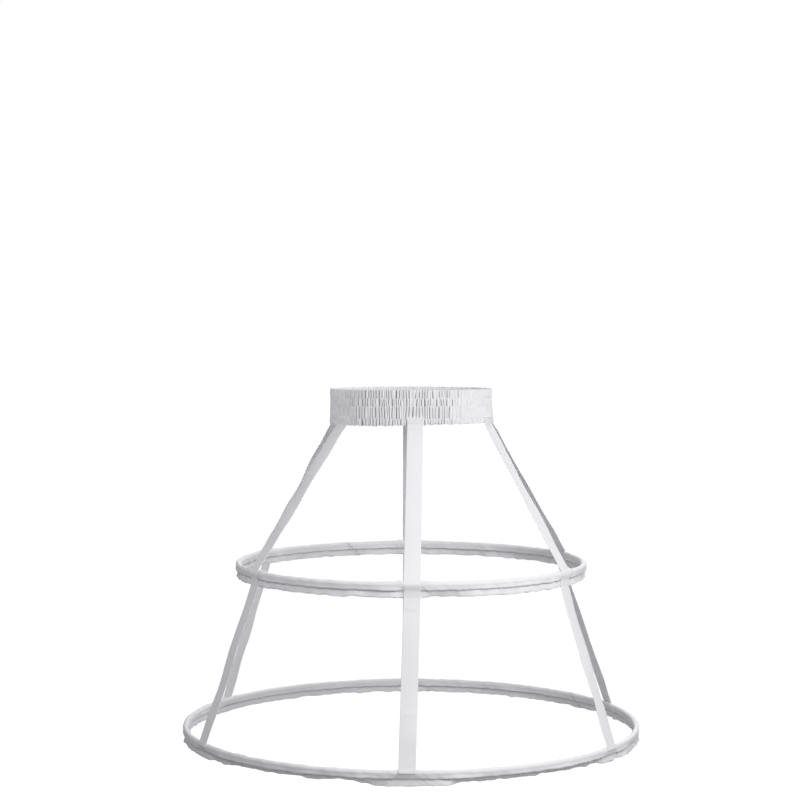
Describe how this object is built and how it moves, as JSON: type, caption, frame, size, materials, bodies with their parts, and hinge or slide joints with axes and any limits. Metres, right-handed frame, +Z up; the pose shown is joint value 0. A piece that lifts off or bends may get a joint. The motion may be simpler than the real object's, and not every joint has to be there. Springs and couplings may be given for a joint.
{
  "type": "crinoline cage",
  "caption": "Open cage petticoat: a gathered elastic waistband, flat tapes and two boned hoops in folded cloth casings, worn at the waist to hold a skirt out.",
  "frame": {"origin": "middle of the waistband's oval, at half its height", "axes": "+Z up along the wearer's body, -Y to the front of the cage, +X to the right in the front view"},
  "size_m": [0.6516, 0.6556, 0.4967],
  "materials": {
    "white_cotton": "matt plain-weave cotton",
    "white_ribbon": "smooth ribbon with a faint sheen",
    "white_elastic": "matt ribbed elastic",
    "jacketed_steel": "satin white plastic jacket on spring steel",
    "sleeve_steel": "plain crimped steel"
  },
  "bodies": {
    "root": {"waistband": "white_cotton", "waist_elastic": "white_elastic", "tape_front": "white_ribbon", "tape_front_right": "white_ribbon", "tape_back_right": "white_ribbon", "tape_back": "white_ribbon", "tape_back_left": "white_ribbon", "tape_front_left": "white_ribbon", "upper_hoop_casing": "white_cotton", "upper_hoop_bone": "jacketed_steel", "upper_hoop_sleeve": "sleeve_steel", "lower_hoop_casing": "white_cotton", "lower_hoop_bone": "jacketed_steel", "lower_hoop_sleeve": "sleeve_steel"}
  },
  "joints": []
}
